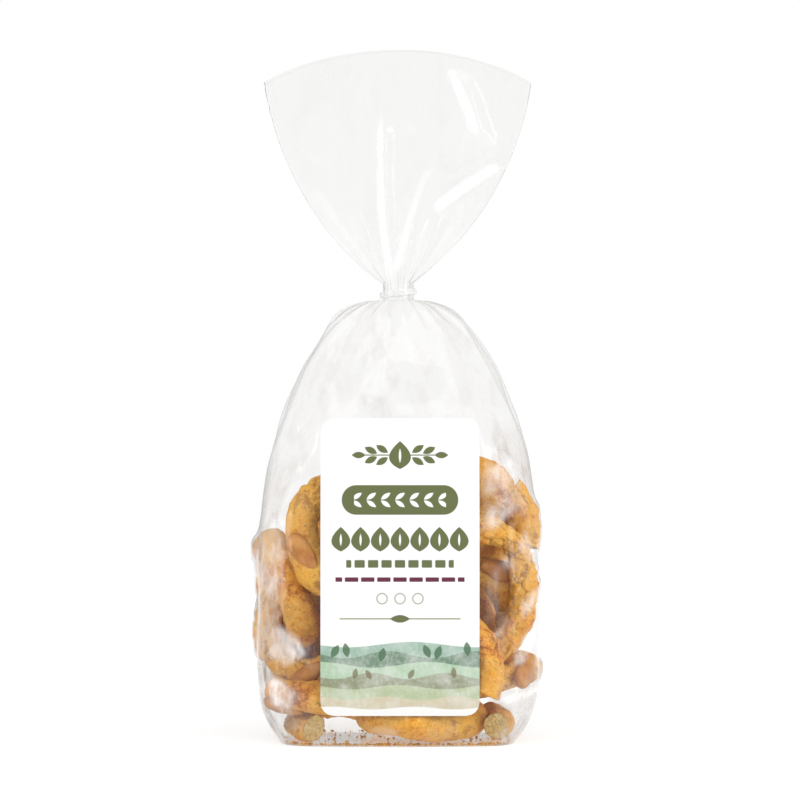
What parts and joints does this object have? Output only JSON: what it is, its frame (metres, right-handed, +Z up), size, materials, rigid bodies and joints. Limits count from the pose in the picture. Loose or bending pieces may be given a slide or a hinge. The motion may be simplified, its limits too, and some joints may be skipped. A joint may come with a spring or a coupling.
{
  "type": "bag of taralli biscuits",
  "caption": "Clear block-bottomed film bag of ring-shaped almond taralli with a paper front label, tied at the neck, its open end fanned out above the tie.",
  "frame": {"origin": "middle of the foot, on the surface the bag stands on", "axes": "+Z up along the bag to the fanned end, front with the label towards -Y, +X to the right seen from the front"},
  "size_m": [0.1328, 0.0782, 0.316],
  "materials": {
    "film": "clear, crisp cellophane with crumples",
    "label_paper": "smooth coated paper, satin",
    "tie_film": "clear tape, glossy",
    "baked_crust": "baked, pebbly, dull"
  },
  "bodies": {
    "root": {"bag": "film", "label": "label_paper", "tie": "tie_film"}
  },
  "joints": []
}
